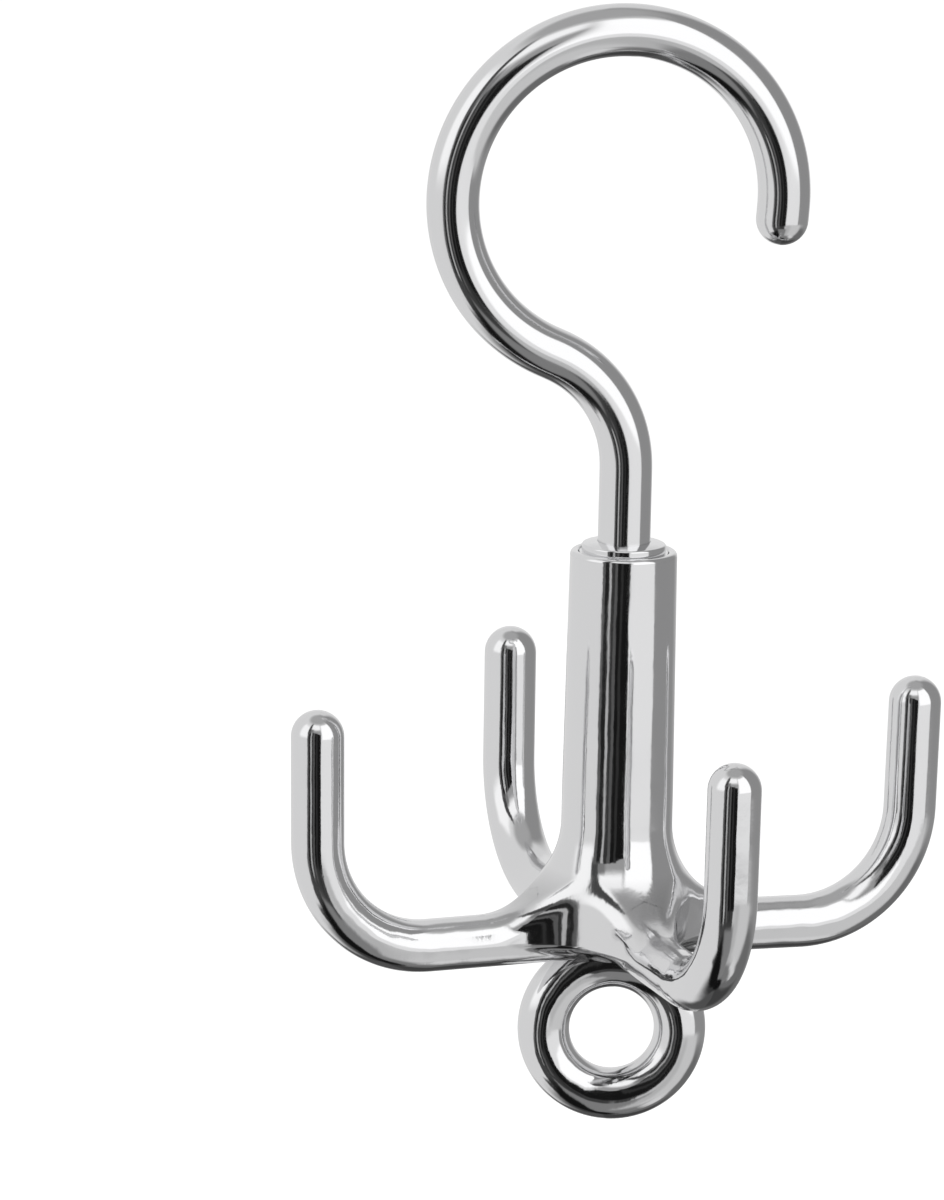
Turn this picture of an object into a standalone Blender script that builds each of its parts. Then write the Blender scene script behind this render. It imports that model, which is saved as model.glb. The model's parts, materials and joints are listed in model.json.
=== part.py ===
"""Swivel bag hanger: a wire hook for a clothes rail, and a cast body with four claws and an eye.

Metres, +Z up. The origin is the rail seat, the top of the loop's inside, where the hanger
rests on its rail. The loop lies in the XZ plane and opens towards +X. The cast body turns
about the vertical axis of the hook's shank.
"""
import math

import bmesh
import bpy
import numpy as np
from mathutils import Vector

MM = 0.001

# Hook: one bent wire, sizes to the wire's centreline unless said otherwise
WIRE_DIAMETER = 6.0 * MM
LOOP_INSIDE_DIAMETER = 32.4 * MM
LOOP_OFFSET = 1.6 * MM            # loop's centre to the shank's axis, sideways
LOOP_PAST_LEVEL = math.radians(4.5)   # how far the bend goes on past the loop's side
TIP_STRAIGHT = 1.2 * MM
NECK_BEND_RADIUS = 14.3 * MM
SHANK_SHOWING = 9.7 * MM          # straight wire between the hub's rim and the neck
SHANK_DEPTH = 24.0 * MM           # wire below the rim, inside the hub
SHANK_CHAMFER = 0.6 * MM

# Swivel: what fits round the shank inside the hub
SEAT_GAP = 0.3 * MM
RUNNING_GAP = 0.15 * MM
CAP_RADIUS = 4.8 * MM
CAP_DEPTH = 4.0 * MM              # below the rim
CAP_SHOULDER = 0.8 * MM           # rise of its side above the rim
CAP_DOME = 1.05 * MM              # rise of its top above the rim, at the shank
CAP_EDGE = 0.25 * MM              # chamfer round its shoulder
CAP_BORE_EDGE = 0.1 * MM
WASHER_RADIUS = 4.2 * MM
WASHER_THICKNESS = 0.8 * MM
CLIP_RADIUS = 4.0 * MM
CLIP_THICKNESS = 0.8 * MM
CLIP_OPENING = math.radians(70)
GROOVE_RADIUS = 2.3 * MM          # wire left inside the clip's groove

# Casting: depths are below the hub's rim
HUB_RADIUS_TOP = 6.1 * MM
HUB_RADIUS_LOW = 6.35 * MM
HUB_TAPER_DEPTH = 28.0 * MM       # where the hub reaches its lower radius
RIM_ROUNDING = 0.5 * MM           # outer edge of the hub's rim
MOUTH_ROUNDING = 0.4 * MM         # inner edge of the rim, beside the cap
CLAW_RADIUS = 3.05 * MM
CLAW_DEPTH = 44.6 * MM            # depth of the four claws' centrelines at the axis
CLAW_REACH = 22.8 * MM            # straight arm, from the axis to the start of the bend
CLAW_DROOP = math.radians(0.9)
CLAW_BEND_RADIUS = 13.2 * MM
CLAW_FLARE = math.radians(1.2)    # outward lean of the upright
CLAW_UPRIGHT = 12.3 * MM
CLAW_TURN = math.radians(7.7)     # claws to the loop's plane, as they stand at rest
FILLET_RADIUS = 10.0 * MM         # flare from the hub to the claws' tops
CROTCH_RADIUS = 11.0 * MM         # between neighbouring claws, seen from above
CROTCH_UNDER = 2.0 * MM           # the same at the underside
CROTCH_EDGE = 1.0 * MM            # rounding where a crotch's wall meets the flare
BORE_END_GAP = 0.5 * MM

# Eye below the hub
EYE_INSIDE_DIAMETER = 9.74 * MM
EYE_WIRE_RADIUS = 2.97 * MM
EYE_LET_IN = 2.36 * MM            # how far its wire is let into the hub's underside
EYE_TURN = math.radians(-9.8)     # eye to the loop's plane, as it stands at rest
STUD_RADIUS = 2.0 * MM
STUD_LENGTH = 5.0 * MM            # above the top of the eye's centreline
STUD_CHAMFER = 0.4 * MM

# Facets
WIRE_SIDES_RESOLUTION = 6         # bevel_resolution: 16 sides round the wire
ARC_STEP = math.radians(7)
CLIP_STEP = math.radians(10)
MOUTH_STEP = math.radians(30)
TURNED_STEPS = 48
EYE_SECTION_STEPS = 24
COLUMNS = 12                      # of the casting's surface, for each claw
FLARE_ROWS = 9                    # down the flare to the claws' centres
UNDER_ROWS = 3                    # out from the middle of the underside
ROOT_ROWS = 6                     # along a claw, as far as the flare reaches
BEND_ROWS = 8
END_ROWS = 4                      # rings on a rounded end
TIP_LAST_RING = math.radians(84)  # turn of the last ring round the wire's tip, closed by a small flat
RAY_STEPS = 60                    # along a ray that looks for the casting's surface
RAY_HALVINGS = 20                 # of the step in which it comes out
UPPER_LEAN = math.radians(30)     # lean of the rows over a claw's ridge, where its root starts
LOWER_LEAN = math.radians(-17)    # lean of the rows under it
MERGE_DISTANCE = 0.01 * MM        # points nearer than this become one

# Places worked out from the sizes above
wire_radius = WIRE_DIAMETER / 2
loop_radius = LOOP_INSIDE_DIAMETER / 2 + wire_radius
loop_centre_z = -LOOP_INSIDE_DIAMETER / 2
neck_rise = math.sqrt((NECK_BEND_RADIUS + loop_radius) ** 2 - (NECK_BEND_RADIUS - LOOP_OFFSET) ** 2)
neck_z = loop_centre_z - neck_rise
rim_z = neck_z - SHANK_SHOWING
axis_x = LOOP_OFFSET
cap_bore_radius = wire_radius + RUNNING_GAP
mouth_radius = CAP_RADIUS + SEAT_GAP
chamber_radius = WASHER_RADIUS + SEAT_GAP
washer_top = -CAP_DEPTH - SEAT_GAP
clip_top = washer_top - WASHER_THICKNESS - SEAT_GAP
clip_bottom = clip_top - CLIP_THICKNESS
chamber_bottom = clip_bottom - SEAT_GAP
clip_inside_radius = GROOVE_RADIUS + SEAT_GAP
claw_z = -CLAW_DEPTH
root_length = max(HUB_RADIUS_LOW + FILLET_RADIUS, CLAW_RADIUS + CROTCH_RADIUS)
eye_radius = EYE_INSIDE_DIAMETER / 2 + EYE_WIRE_RADIUS
eye_z = claw_z - CLAW_RADIUS + EYE_LET_IN - EYE_WIRE_RADIUS - eye_radius
eye_top = eye_z + eye_radius


def clear_scene():
    """Remove every object, so the script starts from an empty file."""
    for old in list(bpy.data.objects):
        bpy.data.objects.remove(old, do_unlink=True)


def new_collection(name):
    """A collection linked to the scene."""
    made = bpy.data.collections.new(name)
    bpy.context.scene.collection.children.link(made)
    return made


def metal(name, colour, roughness, metallic=1.0):
    """A Principled material with one colour."""
    made = bpy.data.materials.new(name)
    made.use_nodes = True
    shader = made.node_tree.nodes["Principled BSDF"]
    shader.inputs["Base Color"].default_value = (*colour, 1.0)
    shader.inputs["Roughness"].default_value = roughness
    shader.inputs["Metallic"].default_value = metallic
    made.diffuse_color = (*colour, 1.0)
    return made


def add_object(name, mesh, collection, material=None, parent=None):
    """Link a mesh or curve as a named object."""
    made = bpy.data.objects.new(name, mesh)
    collection.objects.link(made)
    if material:
        mesh.materials.append(material)
    made.parent = parent
    return made


def smooth(made, angle=math.radians(35)):
    """Smooth shading, with edges sharper than the angle kept."""
    made.data.shade_smooth()
    made.data.set_sharp_from_angle(angle=angle)


def turned(name, profile, collection, material=None, parent=None):
    """Turn a closed profile of (radius, height) points about Z with a Screw modifier."""
    mesh = bpy.data.meshes.new(name)
    edges = [(i, (i + 1) % len(profile)) for i in range(len(profile))]
    mesh.from_pydata([(radius, 0, height) for radius, height in profile], edges, [])
    made = add_object(name, mesh, collection, material, parent)
    screw = made.modifiers.new("turn", "SCREW")
    screw.steps = TURNED_STEPS
    screw.render_steps = TURNED_STEPS
    screw.use_merge_vertices = True
    screw.merge_threshold = MERGE_DISTANCE
    return made


def boolean(made, cutter, operation):
    """Cut or join a mesh object with another one, by the exact solver."""
    step = made.modifiers.new(cutter.name, "BOOLEAN")
    step.operation = operation
    step.solver = "EXACT"
    step.object = cutter
    return step


def as_cutter(made):
    """Mark an object as one that only cuts or joins another."""
    made.hide_render = True
    made.display_type = "WIRE"
    return made


def arc(centre, radius, start, end, step=ARC_STEP):
    """Points (x, z) on an arc from the start angle to the end angle, both ends included."""
    count = max(2, math.ceil(abs(end - start) / step))
    angles = [start + (end - start) * i / count for i in range(count + 1)]
    return [(centre[0] + radius * math.cos(a), centre[1] + radius * math.sin(a)) for a in angles]


def hook_path():
    """Centreline of the wire in the XZ plane and the wire's relative thickness at each point.

    The loop's arc has points at its sides and its top, so the facets keep its full size.
    """
    neck_centre = (axis_x - NECK_BEND_RADIUS, neck_z)
    loop_centre = (0.0, loop_centre_z)
    meeting = math.atan2(loop_centre[1] - neck_centre[1], loop_centre[0] - neck_centre[0])
    loop_end = -LOOP_PAST_LEVEL
    bottom = (axis_x, rim_z - SHANK_DEPTH)
    points = [bottom, (axis_x, bottom[1] + SHANK_CHAMFER), (axis_x, rim_z)]
    points += arc(neck_centre, NECK_BEND_RADIUS, 0.0, meeting)
    quarters = (meeting + math.pi, math.pi, math.pi / 2, 0.0, loop_end)
    for first, last in zip(quarters, quarters[1:]):
        points += arc(loop_centre, loop_radius, first, last)[1:]
    heading = (math.sin(loop_end), -math.cos(loop_end))
    start = points[-1]
    thickness = [1 - SHANK_CHAMFER / wire_radius] + [1.0] * (len(points) - 1)
    for i in range(END_ROWS + 1):
        turn = TIP_LAST_RING * i / END_ROWS
        ahead = TIP_STRAIGHT + wire_radius * math.sin(turn)
        points.append((start[0] + heading[0] * ahead, start[1] + heading[1] * ahead))
        thickness.append(math.cos(turn))
    return points, thickness


def make_hook(parts, cutters, material):
    """The bent wire, with a groove for the clip near the shank's lower end."""
    points, thickness = hook_path()
    curve = bpy.data.curves.new("hook_wire", "CURVE")
    curve.dimensions = "3D"
    curve.bevel_depth = wire_radius
    curve.bevel_resolution = WIRE_SIDES_RESOLUTION
    curve.use_fill_caps = True
    spline = curve.splines.new("POLY")
    spline.points.add(len(points) - 1)
    for point, (x, z), size in zip(spline.points, points, thickness):
        point.co = (x, 0, z, 1)
        point.radius = size
    wire = add_object("hook_wire", curve, cutters)
    bpy.context.view_layer.update()
    evaluated = wire.evaluated_get(bpy.context.evaluated_depsgraph_get())
    mesh = bpy.data.meshes.new_from_object(evaluated)
    mesh.name = "hook"
    bm = bmesh.new()
    bm.from_mesh(mesh)
    bmesh.ops.remove_doubles(bm, verts=bm.verts, dist=MERGE_DISTANCE)
    bmesh.ops.recalc_face_normals(bm, faces=bm.faces)
    bm.to_mesh(mesh)
    bm.free()
    hook = add_object("hook", mesh, parts, material)
    hook.matrix_world = wire.matrix_world
    bpy.data.objects.remove(wire, do_unlink=True)
    smooth(hook)

    low, high = rim_z + clip_bottom - SEAT_GAP, rim_z + clip_top + SEAT_GAP
    groove = turned("hook_groove", [(mouth_radius, high), (mouth_radius, low), (GROOVE_RADIUS, low),
                                    (GROOVE_RADIUS, high)], cutters)
    groove.location.x = axis_x
    boolean(hook, as_cutter(groove), "DIFFERENCE")
    return hook


def make_retaining_clip(parts, material):
    """A flat C-shaped spring clip, its opening towards the loop's back."""
    half = CLIP_OPENING / 2
    outer = arc((0, 0), CLIP_RADIUS, math.pi + half, 3 * math.pi - half, CLIP_STEP)
    inner = arc((0, 0), clip_inside_radius, 3 * math.pi - half, math.pi + half, CLIP_STEP)
    curve = bpy.data.curves.new("retaining_clip", "CURVE")
    curve.dimensions = "2D"
    curve.fill_mode = "BOTH"
    curve.extrude = CLIP_THICKNESS / 2
    spline = curve.splines.new("POLY")
    spline.points.add(len(outer + inner) - 1)
    spline.use_cyclic_u = True
    for point, (x, y) in zip(spline.points, outer + inner):
        point.co = (x, y, 0, 1)
    clip = add_object("retaining_clip", curve, parts, material)
    clip.location = (axis_x, 0, rim_z + (clip_top + clip_bottom) / 2)
    return clip


def make_swivel_cap(parts, material, swivel):
    """The bush that closes the hub's mouth: it stands proud of the rim and has a bore for the shank."""
    profile = [(cap_bore_radius + CAP_BORE_EDGE, CAP_DOME), (CAP_RADIUS - CAP_EDGE, CAP_SHOULDER),
               (CAP_RADIUS, CAP_SHOULDER - CAP_EDGE), (CAP_RADIUS, -CAP_DEPTH),
               (cap_bore_radius, -CAP_DEPTH), (cap_bore_radius, CAP_DOME - CAP_BORE_EDGE)]
    cap = turned("swivel_cap", profile, parts, material, swivel)
    smooth(cap)
    return cap


def make_thrust_washer(parts, material, swivel):
    """The nylon washer that the clip lifts against."""
    bore = wire_radius + SEAT_GAP
    low = washer_top - WASHER_THICKNESS
    profile = [(WASHER_RADIUS, washer_top), (WASHER_RADIUS, low), (bore, low), (bore, washer_top)]
    washer = turned("thrust_washer", profile, parts, material, swivel)
    smooth(washer)
    return washer


def claw_line():
    """The claw's centreline in its own plane: straight arm, bend, upright.

    Returns the arm's heading, the bend's centre and its start and end angles, and the upright's
    start and heading. Each is (x, z), x outwards from the hub's axis, z above the rim.
    """
    heading = np.array([math.cos(CLAW_DROOP), -math.sin(CLAW_DROOP)])
    bend_start = np.array([0, claw_z]) + CLAW_REACH * heading
    centre = bend_start + CLAW_BEND_RADIUS * np.array([-heading[1], heading[0]])
    start = -math.pi / 2 - CLAW_DROOP
    end = -CLAW_FLARE
    foot = centre + CLAW_BEND_RADIUS * np.array([math.cos(end), math.sin(end)])
    upright = np.array([-math.sin(end), math.cos(end)])
    return heading, centre, start, end, foot, upright


def smooth_step(share):
    """From 0 to 1 as the share goes from 0 to 1, level at both ends."""
    share = np.clip(share, 0, 1)
    return share * share * (3 - 2 * share)


def inner_round(first, second, radius):
    """Distance outside two faces that meet at a right angle, with their inner corner rounded.

    Both arguments are distances outside a face, and so is the result.
    """
    in_corner = (first < radius) & (second < radius)
    rounded = radius - np.hypot(first - radius, second - radius)
    return np.where(in_corner, rounded, np.minimum(first, second))


def inside_casting(points):
    """True where a point is inside the casting's outer form, as far out as the arms are straight.

    The form is the round hub and a cross of four arms. Seen from above, round crotches join the
    arms' sides. Seen from the side, the hub flares out into the arms' tops. The edge between the
    two is tight at the hub and as round as the claw where the flare ends. Below the claws'
    centres the crotches draw in.
    """
    x, y, z = np.abs(points[..., 0]), np.abs(points[..., 1]), points[..., 2]
    radius = np.hypot(x, y)
    hub_radius = np.interp(-z, [0, HUB_TAPER_DEPTH], [HUB_RADIUS_TOP, HUB_RADIUS_LOW])
    below = np.maximum(claw_z - z, 0)
    in_hub = np.hypot(np.maximum(radius - hub_radius + CLAW_RADIUS, 0), below) < CLAW_RADIUS

    height = z - claw_z + radius * math.tan(CLAW_DROOP)
    crotch = CROTCH_UNDER + (CROTCH_RADIUS - CROTCH_UNDER) * smooth_step(height / CLAW_RADIUS + 1)
    beside = inner_round(x - CLAW_RADIUS, y - CLAW_RADIUS, crotch)
    above = inner_round(radius - hub_radius, height - CLAW_RADIUS, FILLET_RADIUS)
    above = np.maximum(above, -height - CLAW_RADIUS)
    closeness = smooth_step(1 - (radius - hub_radius) / FILLET_RADIUS) * (height > 0)
    edge = CLAW_RADIUS - (CLAW_RADIUS - CROTCH_EDGE) * closeness
    in_cross = np.hypot(np.maximum(above + edge, 0), np.maximum(beside + edge, 0)) < edge
    return in_hub | in_cross


def surface_along(origin, directions):
    """Where rays from a point inside the casting come out of it, by stepping and then halving."""
    step = root_length / RAY_STEPS
    still_inside = np.ones(len(directions), bool)
    low = np.zeros(len(directions))
    for count in range(1, RAY_STEPS + 1):
        still_inside &= inside_casting(origin + count * step * directions)
        low[still_inside] = count * step
    high = low + step
    for _ in range(RAY_HALVINGS):
        middle = (low + high) / 2
        hit = inside_casting(origin + middle[:, None] * directions)
        low = np.where(hit, middle, low)
        high = np.where(hit, high, middle)
    return origin + ((low + high) / 2)[:, None] * directions


def fan(origin, ridge, side):
    """A row of the surface: rays turned evenly from one side, over the ridge, to the other side."""
    ridge = np.array(ridge) / np.linalg.norm(ridge)
    side = np.array(side) / np.linalg.norm(side)
    opening = math.acos(float(np.clip(ridge @ side, -1, 1)))
    rays = []
    for column in np.linspace(-1, 1, COLUMNS + 1):
        leaning = side * (1, -1 if column < 0 else 1, 1)
        turn = abs(column) * opening
        rays.append((math.sin(opening - turn) * ridge + math.sin(turn) * leaning) / math.sin(opening))
    return surface_along(np.array(origin, float), np.array(rays))


def tilted(elevation):
    """A direction in the claw's plane at an elevation."""
    return (math.cos(elevation), 0, math.sin(elevation))


def body_rows():
    """Rows round the axis for a quarter of the hub: down to the claws' centres, and underneath."""
    diagonal = (1, 1, 0)
    flare_top = claw_z + CLAW_RADIUS + FILLET_RADIUS
    upper = [fan((0, 0, -RIM_ROUNDING), tilted(0), diagonal)]
    for i in range(FLARE_ROWS + 1):
        share = i / FLARE_ROWS
        z = flare_top + (claw_z - flare_top) * share
        upper.append(fan((0, 0, z), tilted(UPPER_LEAN * share), diagonal))
    lower = []
    for i in range(1, UNDER_ROWS + 1):
        share = i / UNDER_ROWS
        side_lean = -math.pi / 2 * (1 - share)
        ridge_lean = -math.pi / 2 + (math.pi / 2 + LOWER_LEAN) * share
        side = (math.cos(side_lean), math.cos(side_lean), math.sqrt(2) * math.sin(side_lean))
        lower.append(fan((0, 0, claw_z), tilted(ridge_lean), side))
    return upper, lower


def end_rows(ball, upright):
    """The rows of a claw's round end, about the ball's centre: its upper and its lower halves."""
    around = np.linspace(-math.pi / 2, math.pi / 2, COLUMNS + 1)
    halves = []
    for sign in (1, -1):
        facing = sign * np.array([-upright[1], 0, upright[0]])
        flat = np.cos(around)[:, None] * facing + np.sin(around)[:, None] * np.array([0, 1, 0])
        rows = []
        for i in range(1, END_ROWS):
            turn = math.pi / 2 * i / END_ROWS
            out = math.cos(turn) * flat + math.sin(turn) * np.array([upright[0], 0, upright[1]])
            rows.append(np.array([ball[0], 0, ball[1]]) + CLAW_RADIUS * out)
        halves.append(rows)
    return halves


def casting_rows():
    """Rows of one quarter of the casting's surface, for the claw along +X.

    The rows come down the hub as quarter circles, open out in the flare and go on along the
    claw as half circles: the upper rows as its upper half, the lower rows as its lower half.
    Returns the upper rows, the lower rows and the tip.
    """
    heading, centre, start, end, foot, upright = claw_line()
    straight_up, straight_down = math.pi / 2 + CLAW_DROOP, -math.pi / 2 + CLAW_DROOP
    upper, lower = body_rows()

    def both(origin, up, down, side):
        upper.append(fan(origin, up, side))
        lower.append(fan(origin, down, side))

    for i in range(1, ROOT_ROWS + 1):
        share = i / ROOT_ROWS
        origin = (root_length * share * heading[0], 0, claw_z + root_length * share * heading[1])
        spread = math.pi / 4 * (1 + share)
        both(origin, tilted(UPPER_LEAN + (straight_up - UPPER_LEAN) * share),
             tilted(LOWER_LEAN + (straight_down - LOWER_LEAN) * share),
             (math.cos(spread), math.sin(spread), 0))

    around = np.linspace(-math.pi / 2, math.pi / 2, COLUMNS + 1)

    def ring(place, direction):
        for rows, sign in ((upper, 1), (lower, -1)):
            out = sign * CLAW_RADIUS * np.cos(around)
            rows.append(np.stack([place[0] - out * direction[1], CLAW_RADIUS * np.sin(around),
                                  place[1] + out * direction[0]], axis=1))

    ring(CLAW_REACH * heading + (0, claw_z), heading)
    for i in range(1, BEND_ROWS + 1):
        angle = start + (end - start) * i / BEND_ROWS
        place = centre + CLAW_BEND_RADIUS * np.array([math.cos(angle), math.sin(angle)])
        ring(place, (-math.sin(angle), math.cos(angle)))
    ball = foot + CLAW_UPRIGHT * upright
    ring(ball, upright)
    upper_end, lower_end = end_rows(ball, upright)
    tip = ball + CLAW_RADIUS * upright
    return upper + upper_end, lower + lower_end, (tip[0], 0, tip[1])


def casting_mesh():
    """The closed outer surface of the casting: the quarter's rows, repeated round the axis."""
    upper, lower, tip = casting_rows()
    bm = bmesh.new()
    found = {}

    def vertex(point, quarter):
        """One vertex for each place, so neighbouring rows and quarters share theirs."""
        turn = quarter * math.pi / 2
        x = point[0] * math.cos(turn) - point[1] * math.sin(turn)
        y = point[0] * math.sin(turn) + point[1] * math.cos(turn)
        key = (round(x, 7), round(y, 7), round(float(point[2]), 7))
        if key not in found:
            found[key] = bm.verts.new((x, y, float(point[2])))
        return found[key]

    def strip(first, second, quarter, flip):
        """Faces between two rows, wound so that they point out."""
        for i in range(COLUMNS):
            corners = [first[i], second[i], second[i + 1], first[i + 1]]
            ring_of = [vertex(corner, quarter) for corner in corners]
            if flip:
                ring_of.reverse()
            bm.faces.new(list(dict.fromkeys(ring_of)))

    rim_rows = []
    for i in range(1, END_ROWS):
        turn = math.pi / 2 * i / (END_ROWS - 1)
        inset = RIM_ROUNDING * (1 - math.cos(turn))
        height = -RIM_ROUNDING * (1 - math.sin(turn))
        scale = (HUB_RADIUS_TOP - inset) / np.hypot(upper[0][:, 0], upper[0][:, 1])
        rim_rows.append(np.stack([upper[0][:, 0] * scale, upper[0][:, 1] * scale,
                                  np.full(COLUMNS + 1, height)], axis=1))
    full_upper = rim_rows[::-1] + upper
    middle_top = (0, 0, 0)
    middle_under = surface_along(np.array([0, 0, claw_z]), np.array([[0, 0, -1.0]]))[0]
    for quarter in range(4):
        for first, second in zip(full_upper, full_upper[1:]):
            strip(first, second, quarter, False)
        for first, second in zip(lower, lower[1:]):
            strip(first, second, quarter, True)
        for row, middle, flip in ((full_upper[0], middle_top, True), (lower[0], middle_under, False),
                                  (upper[-1], tip, False), (lower[-1], tip, True)):
            for i in range(COLUMNS):
                corners = [vertex(row[i], quarter), vertex(middle, quarter), vertex(row[i + 1], quarter)]
                if flip:
                    corners.reverse()
                bm.faces.new(corners)
    bmesh.ops.recalc_face_normals(bm, faces=bm.faces)
    mesh = bpy.data.meshes.new("claw_casting")
    bm.to_mesh(mesh)
    bm.free()
    return mesh


def make_claw_casting(parts, cutters, material, swivel):
    """The hub and its four claws, bored for the swivel and recessed for the eye."""
    casting = add_object("claw_casting", casting_mesh(), parts, material, swivel)
    casting.rotation_euler.z = CLAW_TURN
    guide = wire_radius + RUNNING_GAP
    clear_of_rim = CAP_DEPTH
    shoulder = -CAP_DEPTH - SEAT_GAP
    end = -SHANK_DEPTH - BORE_END_GAP
    outside = mouth_radius + MOUTH_ROUNDING
    mouth = arc((outside, -MOUTH_ROUNDING), MOUTH_ROUNDING, math.pi / 2, math.pi, MOUTH_STEP)
    profile = [(outside, clear_of_rim), *mouth, (mouth_radius, shoulder), (chamber_radius, shoulder),
               (chamber_radius, chamber_bottom), (guide, chamber_bottom), (guide, end), (0, end),
               (0, clear_of_rim)]
    bore = turned("hub_bore", profile, cutters, parent=swivel)
    boolean(casting, as_cutter(bore), "DIFFERENCE")

    bpy.ops.mesh.primitive_torus_add(major_radius=eye_radius, minor_radius=EYE_WIRE_RADIUS + SEAT_GAP,
                                     major_segments=TURNED_STEPS, minor_segments=EYE_SECTION_STEPS)
    saddle = bpy.context.object
    saddle.name = "eye_saddle"
    place_eye(saddle, cutters, swivel)
    boolean(casting, as_cutter(saddle), "DIFFERENCE")
    socket = stud("eye_socket", STUD_RADIUS + SEAT_GAP, STUD_LENGTH + SEAT_GAP, cutters, swivel)
    boolean(casting, as_cutter(socket), "DIFFERENCE")
    smooth(casting)
    return casting


def move_to(made, collection):
    """Keep an object in one collection only."""
    for old in list(made.users_collection):
        old.objects.unlink(made)
    collection.objects.link(made)


def place_eye(made, collection, swivel):
    """Stand a torus upright at the eye's place."""
    move_to(made, collection)
    made.parent = swivel
    made.location = (0, 0, eye_z)
    made.rotation_euler = (math.pi / 2, 0, EYE_TURN)


def stud(name, radius, length, collection, swivel):
    """A pin from the eye's centreline up into the hub, chamfered at its top."""
    profile = [(0, eye_top + length), (radius - STUD_CHAMFER, eye_top + length),
               (radius, eye_top + length - STUD_CHAMFER), (radius, eye_top), (0, eye_top)]
    return turned(name, profile, collection, parent=swivel)


def make_eye_ring(parts, cutters, material, swivel):
    """The round eye and the stud that holds it in the hub's underside."""
    bpy.ops.mesh.primitive_torus_add(major_radius=eye_radius, minor_radius=EYE_WIRE_RADIUS,
                                     major_segments=TURNED_STEPS, minor_segments=EYE_SECTION_STEPS)
    eye = bpy.context.object
    eye.name = "eye_ring"
    eye.data.materials.append(material)
    place_eye(eye, parts, swivel)
    pin = stud("eye_stud", STUD_RADIUS, STUD_LENGTH, cutters, swivel)
    boolean(eye, as_cutter(pin), "UNION")
    smooth(eye)
    return eye


def main():
    """Build the hanger."""
    clear_scene()
    parts = new_collection("bag_hanger")
    cutters = new_collection("bag_hanger_cutters")
    chrome = metal("chrome_plating", (0.80, 0.80, 0.81), 0.06)
    spring_steel = metal("spring_steel", (0.32, 0.32, 0.33), 0.35)
    nylon = metal("nylon", (0.86, 0.84, 0.78), 0.5, 0.0)

    swivel = bpy.data.objects.new("swivel_axis", None)
    parts.objects.link(swivel)
    swivel.location = Vector((axis_x, 0, rim_z))

    make_hook(parts, cutters, chrome)
    make_retaining_clip(parts, spring_steel)
    make_swivel_cap(parts, chrome, swivel)
    make_thrust_washer(parts, nylon, swivel)
    make_claw_casting(parts, cutters, chrome, swivel)
    make_eye_ring(parts, cutters, chrome, swivel)


main()
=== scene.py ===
"""Looks of the swivel bag hanger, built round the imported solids.

Metres, +Z up. The origin is the rail seat, the top of the hook's loop inside. The loop lies in the
XZ plane and opens towards +X. Every surface here is worked out with numpy from the sizes below,
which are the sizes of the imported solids, and is finer than they are.
"""
import json
import math

import bmesh
import bpy
import numpy as np
from mathutils import Matrix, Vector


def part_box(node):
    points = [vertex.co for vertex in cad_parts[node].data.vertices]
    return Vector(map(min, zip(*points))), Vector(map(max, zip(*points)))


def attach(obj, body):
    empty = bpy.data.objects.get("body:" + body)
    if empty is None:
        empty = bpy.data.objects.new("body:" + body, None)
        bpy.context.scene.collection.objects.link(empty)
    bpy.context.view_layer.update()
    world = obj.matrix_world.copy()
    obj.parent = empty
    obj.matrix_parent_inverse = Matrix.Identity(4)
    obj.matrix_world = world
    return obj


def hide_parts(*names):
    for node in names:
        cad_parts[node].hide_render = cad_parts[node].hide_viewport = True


MM = 0.001

# Hook, to the wire's centreline unless said otherwise
LOOP_INSIDE_DIAMETER = 32.4 * MM
LOOP_PAST_LEVEL = math.radians(4.5)
TIP_STRAIGHT = 1.2 * MM
NECK_BEND_RADIUS = 14.3 * MM
BEND_EASE = 2.4 * MM              # length over which the wire goes from straight to bent
GROOVE_RADIUS = 2.3 * MM
CLIP_OPENING = math.radians(70)
STAMPED_EDGE = 0.1 * MM           # rounding on the clip and the washer
SHANK_CHAMFER = 0.6 * MM

# Cap in the hub's mouth, and the bore below it; depths are from the rim
CAP_SHOULDER = 0.8 * MM
CAP_DOME = 1.05 * MM
CAP_EDGE = 0.25 * MM
CAP_LIP_GAP = 0.03 * MM           # where the cap's bore closes in to the wire at its top
CAP_LIP_DEPTH = 0.3 * MM
CAP_GROOVE_DEPTH = 0.2 * MM       # below the rim, where the cap widens to fill its seat
SEAT_GAP = 0.3 * MM
RUNNING_GAP = 0.15 * MM
BORE_END_GAP = 0.5 * MM

# Casting
HUB_RADIUS_TOP = 6.1 * MM
HUB_RADIUS_LOW = 6.35 * MM
HUB_TAPER_DEPTH = 28.0 * MM
RIM_ROUNDING = 0.5 * MM
MOUTH_ROUNDING = 0.4 * MM
CLAW_RADIUS = 3.025 * MM          # a hair under the solid's, to stay inside its facets
CLAW_DEPTH = 44.6 * MM
CLAW_REACH = 22.8 * MM
CLAW_DROOP = math.radians(0.9)
CLAW_BEND_RADIUS = 13.2 * MM
CLAW_FLARE = math.radians(1.2)
CLAW_UPRIGHT = 12.3 * MM
CLAW_TURN = math.radians(7.7)
FILLET_RADIUS = 10.0 * MM         # flare from the hub to the claws' tops
CROTCH_RADIUS = 11.0 * MM         # between neighbouring claws, seen from above
CROTCH_UNDER = 2.0 * MM           # the same at the underside
CROTCH_EDGE = 1.0 * MM            # rounding where a crotch's wall meets the flare
UPPER_LEAN = math.radians(30)     # how far the middle ray of a fan leans up or down at the cross
LOWER_LEAN = math.radians(-17)

# Eye
EYE_INSIDE_DIAMETER = 9.74 * MM
EYE_WIRE_RADIUS = 2.97 * MM
EYE_TURN = math.radians(-9.8)

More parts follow.
